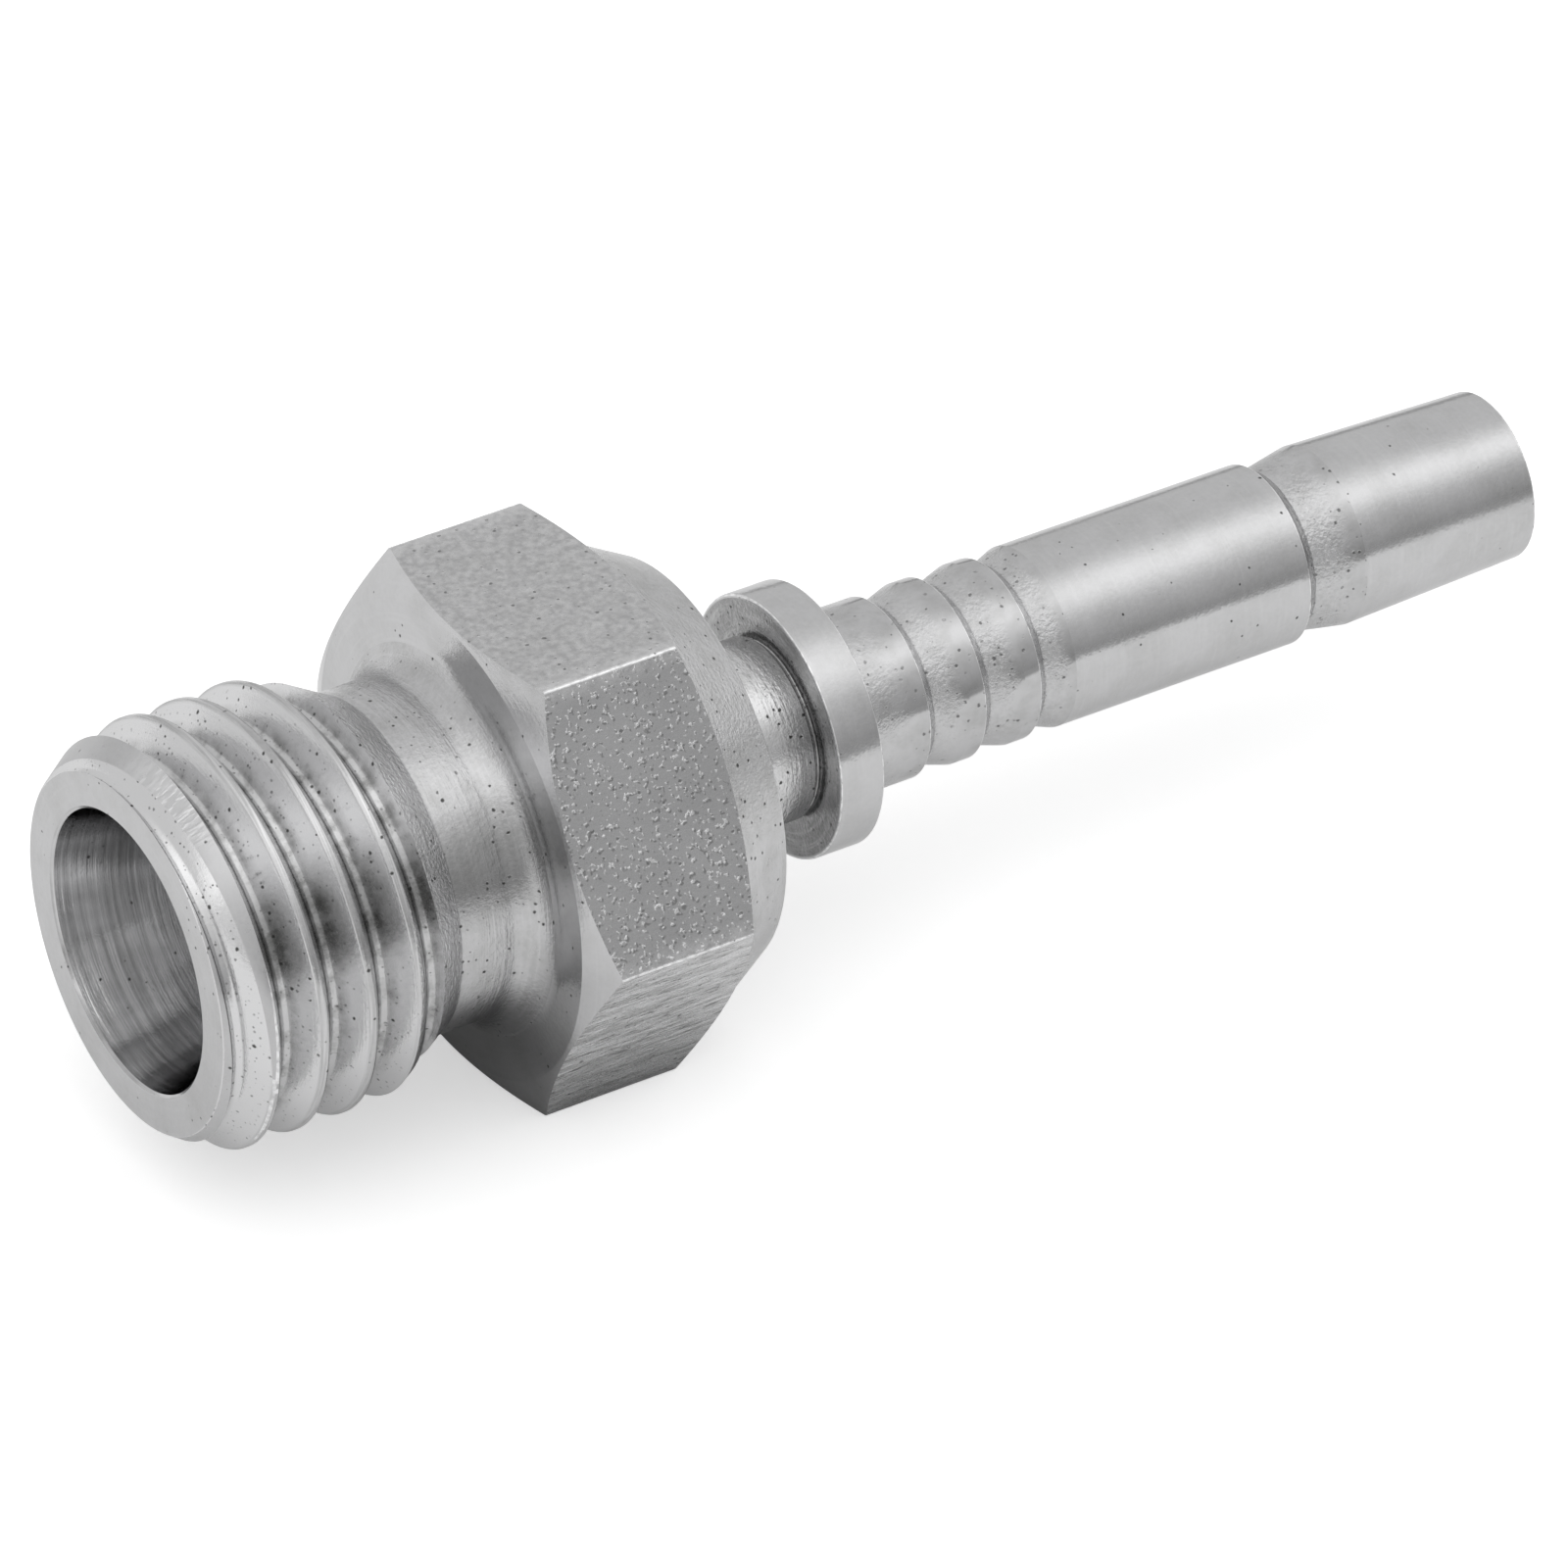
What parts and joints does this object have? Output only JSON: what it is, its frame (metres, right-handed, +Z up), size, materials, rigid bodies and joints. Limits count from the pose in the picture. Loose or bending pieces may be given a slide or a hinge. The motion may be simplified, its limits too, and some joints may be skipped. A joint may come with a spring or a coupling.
{
  "type": "hose barb tail",
  "caption": "Straight steel hose fitting: male metric thread with a tube cone, a hexagon, a ferrule collar and a ridged hose tail.",
  "frame": {"origin": "on the axis, in the plane of the face at the thread end", "axes": "+X along the axis from the thread end to the hose end, +Z up, with two hexagon flats level"},
  "size_m": [0.044, 0.0162, 0.014],
  "materials": {
    "plated_steel": "turned and zinc plated, pale grey"
  },
  "bodies": {
    "root": {"hose_tail": "plated_steel"}
  },
  "joints": []
}
